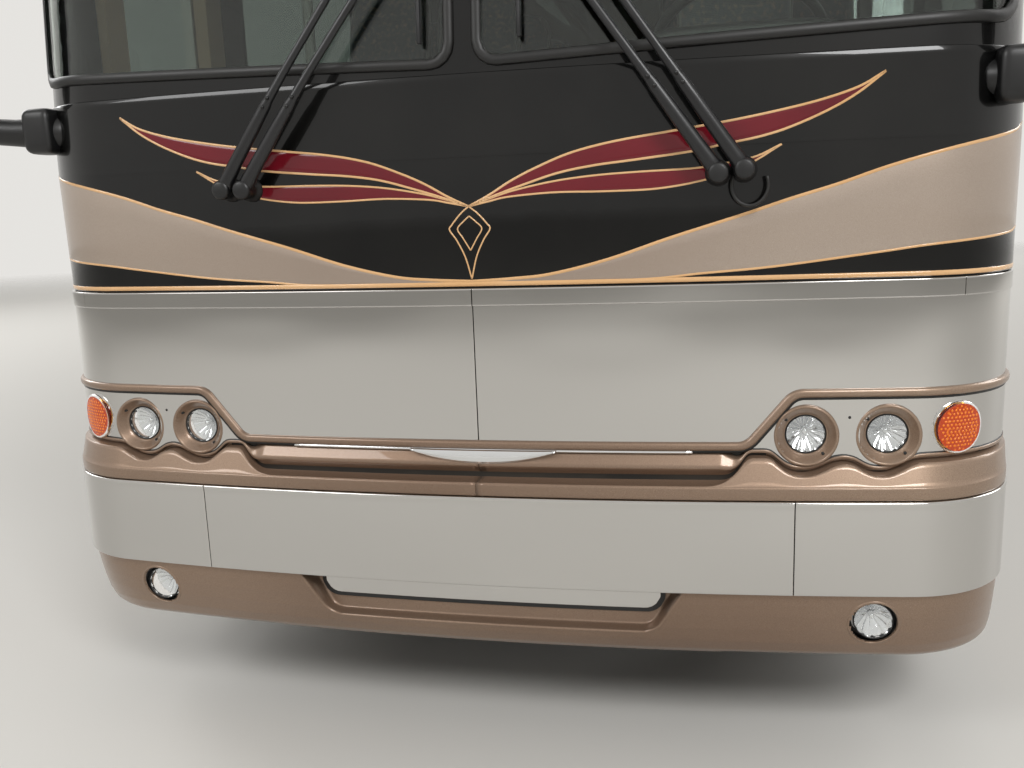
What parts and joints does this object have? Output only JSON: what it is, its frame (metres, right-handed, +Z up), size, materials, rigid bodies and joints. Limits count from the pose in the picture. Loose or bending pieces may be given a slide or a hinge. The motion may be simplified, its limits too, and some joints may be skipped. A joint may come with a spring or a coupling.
{
  "type": "three-axle highway coach bus",
  "caption": "Long highway coach with mirror-steel front panels, bronze bumper, hollow cabin, rolling and steered wheels, and opening doors.",
  "frame": {"origin": "centre of the footprint on the ground", "axes": "+Z up, the front faces -Y, +X is the driver's side"},
  "size_m": [3.351, 13.7182, 3.607],
  "materials": {
    "amber": "gloss",
    "black_plastic": "satin",
    "frame": "satin",
    "glass": "clear",
    "interior": "matte",
    "lamp": "clear",
    "mirror": "mirror",
    "mirror_steel": "mirror polish",
    "painted_black": "gloss",
    "painted_bronze": "metallic gloss",
    "red": "gloss",
    "rubber": "satin",
    "seat": "woven",
    "tyre": "matte",
    "wheel": "polished"
  },
  "bodies": {
    "chassis": {"air_springs": "rubber", "amber_signals": "amber", "axles": "frame", "bumper_fascia": "painted_bronze", "bumper_steel_band": "mirror_steel", "bumper_valance": "painted_bronze", "cabin_windows": "glass", "dashboard": "interior", "engine_block": "frame", "entry_steps": "interior", "floor_deck": "interior", "front_cap": "painted_black", "front_lamps": "lamp", "front_steel_panel": "mirror_steel", "front_trim_moulding": "painted_bronze", "front_upper_panel": "painted_black", "headlamp_rings": "painted_bronze", "hinge_pins": "frame", "mirror_glass": "mirror", "mirrors": "painted_black", "nose_frame": "frame", "polished_plates": "mirror_steel", "rear_bumper": "painted_bronze", "rear_cap": "painted_black", "roof": "painted_black", "seats": "seat", "side_walls": "painted_black", "skirt_panels": "painted_bronze", "steering_wheel": "black_plastic", "tail_lamps": "red", "underframe": "frame", "windshield": "glass", "windshield_frame": "painted_black", "windshield_gasket": "rubber", "wipers": "black_plastic"},
    "knuckle_left": {"knuckle_left": "frame"},
    "wheel_front_left": {"tyre_front_left": "tyre", "rim_front_left": "wheel"},
    "wheel_drive_left": {"tyre_drive_left": "tyre", "rim_drive_left": "wheel"},
    "wheel_tag_left": {"tyre_tag_left": "tyre", "rim_tag_left": "wheel"},
    "knuckle_right": {"knuckle_right": "frame"},
    "wheel_front_right": {"tyre_front_right": "tyre", "rim_front_right": "wheel"},
    "wheel_drive_right": {"tyre_drive_right": "tyre", "rim_drive_right": "wheel"},
    "wheel_tag_right": {"tyre_tag_right": "tyre", "rim_tag_right": "wheel"},
    "tie_rod": {"tie_rod": "frame"},
    "entrance_door": {"entrance_door": "painted_black", "entrance_door_glass": "glass"},
    "luggage_door_left_1": {"luggage_door_left_1": "painted_bronze"},
    "luggage_door_left_2": {"luggage_door_left_2": "painted_bronze"},
    "luggage_door_left_3": {"luggage_door_left_3": "painted_bronze"},
    "luggage_door_right_1": {"luggage_door_right_1": "painted_bronze"},
    "luggage_door_right_2": {"luggage_door_right_2": "painted_bronze"},
    "luggage_door_right_3": {"luggage_door_right_3": "painted_bronze"},
    "engine_door": {"engine_door": "painted_black"}
  },
  "joints": [
    {"name": "roll_front_left", "type": "hinge", "parent": "knuckle_left", "child": "wheel_front_left", "pos_m": [1.1175, -4.928, 0.538], "axis": [1, 0, 0], "continuous": true},
    {"name": "roll_drive_left", "type": "hinge", "parent": "chassis", "child": "wheel_drive_left", "pos_m": [1.1175, 3.102, 0.538], "axis": [1, 0, 0], "continuous": true},
    {"name": "roll_tag_left", "type": "hinge", "parent": "chassis", "child": "wheel_tag_left", "pos_m": [1.1175, 4.321, 0.538], "axis": [1, 0, 0], "continuous": true},
    {"name": "steer_left", "type": "hinge", "parent": "chassis", "child": "knuckle_left", "pos_m": [0.9775, -4.928, 0.538], "axis": [0, 0, 1], "range_deg": [-45, 45]},
    {"name": "roll_front_right", "type": "hinge", "parent": "knuckle_right", "child": "wheel_front_right", "pos_m": [-1.1175, -4.928, 0.538], "axis": [1, 0, 0], "continuous": true},
    {"name": "roll_drive_right", "type": "hinge", "parent": "chassis", "child": "wheel_drive_right", "pos_m": [-1.1175, 3.102, 0.538], "axis": [1, 0, 0], "continuous": true},
    {"name": "roll_tag_right", "type": "hinge", "parent": "chassis", "child": "wheel_tag_right", "pos_m": [-1.1175, 4.321, 0.538], "axis": [1, 0, 0], "continuous": true},
    {"name": "steer_right", "type": "hinge", "parent": "chassis", "child": "knuckle_right", "pos_m": [-0.9775, -4.928, 0.538], "axis": [0, 0, 1], "range_deg": [-45, 45]},
    {"name": "tie_rod_pivot", "type": "hinge", "parent": "knuckle_left", "child": "tie_rod", "pos_m": [0.9775, -4.728, 0.487], "axis": [0, 0, 1], "range_deg": [-45, 45]},
    {"name": "entrance_door_swing", "type": "hinge", "parent": "chassis", "child": "entrance_door", "pos_m": [-1.2875, -6.332, 1.6], "axis": [0, 0, 1], "range_deg": [0, 88]},
    {"name": "luggage_door_left_1_lift", "type": "hinge", "parent": "chassis", "child": "luggage_door_left_1", "pos_m": [1.2875, -3.118, 1.211], "axis": [0, -1, 0], "range_deg": [0, 85]},
    {"name": "luggage_door_left_2_lift", "type": "hinge", "parent": "chassis", "child": "luggage_door_left_2", "pos_m": [1.2875, -0.898, 1.211], "axis": [0, -1, 0], "range_deg": [0, 85]},
    {"name": "luggage_door_left_3_lift", "type": "hinge", "parent": "chassis", "child": "luggage_door_left_3", "pos_m": [1.2875, 1.322, 1.211], "axis": [0, -1, 0], "range_deg": [0, 85]},
    {"name": "luggage_door_right_1_lift", "type": "hinge", "parent": "chassis", "child": "luggage_door_right_1", "pos_m": [-1.2875, -3.118, 1.211], "axis": [0, 1, 0], "range_deg": [0, 85]},
    {"name": "luggage_door_right_2_lift", "type": "hinge", "parent": "chassis", "child": "luggage_door_right_2", "pos_m": [-1.2875, -0.898, 1.211], "axis": [0, 1, 0], "range_deg": [0, 85]},
    {"name": "luggage_door_right_3_lift", "type": "hinge", "parent": "chassis", "child": "luggage_door_right_3", "pos_m": [-1.2875, 1.322, 1.211], "axis": [0, 1, 0], "range_deg": [0, 85]},
    {"name": "engine_door_lift", "type": "hinge", "parent": "chassis", "child": "engine_door", "pos_m": [0, 6.81, 1.509], "axis": [1, 0, 0], "range_deg": [0, 80]}
  ],
  "couplings": [
    {"joint": "steer_right", "follows": "steer_left", "ratio": 1},
    {"joint": "tie_rod_pivot", "follows": "steer_left", "ratio": -1}
  ]
}
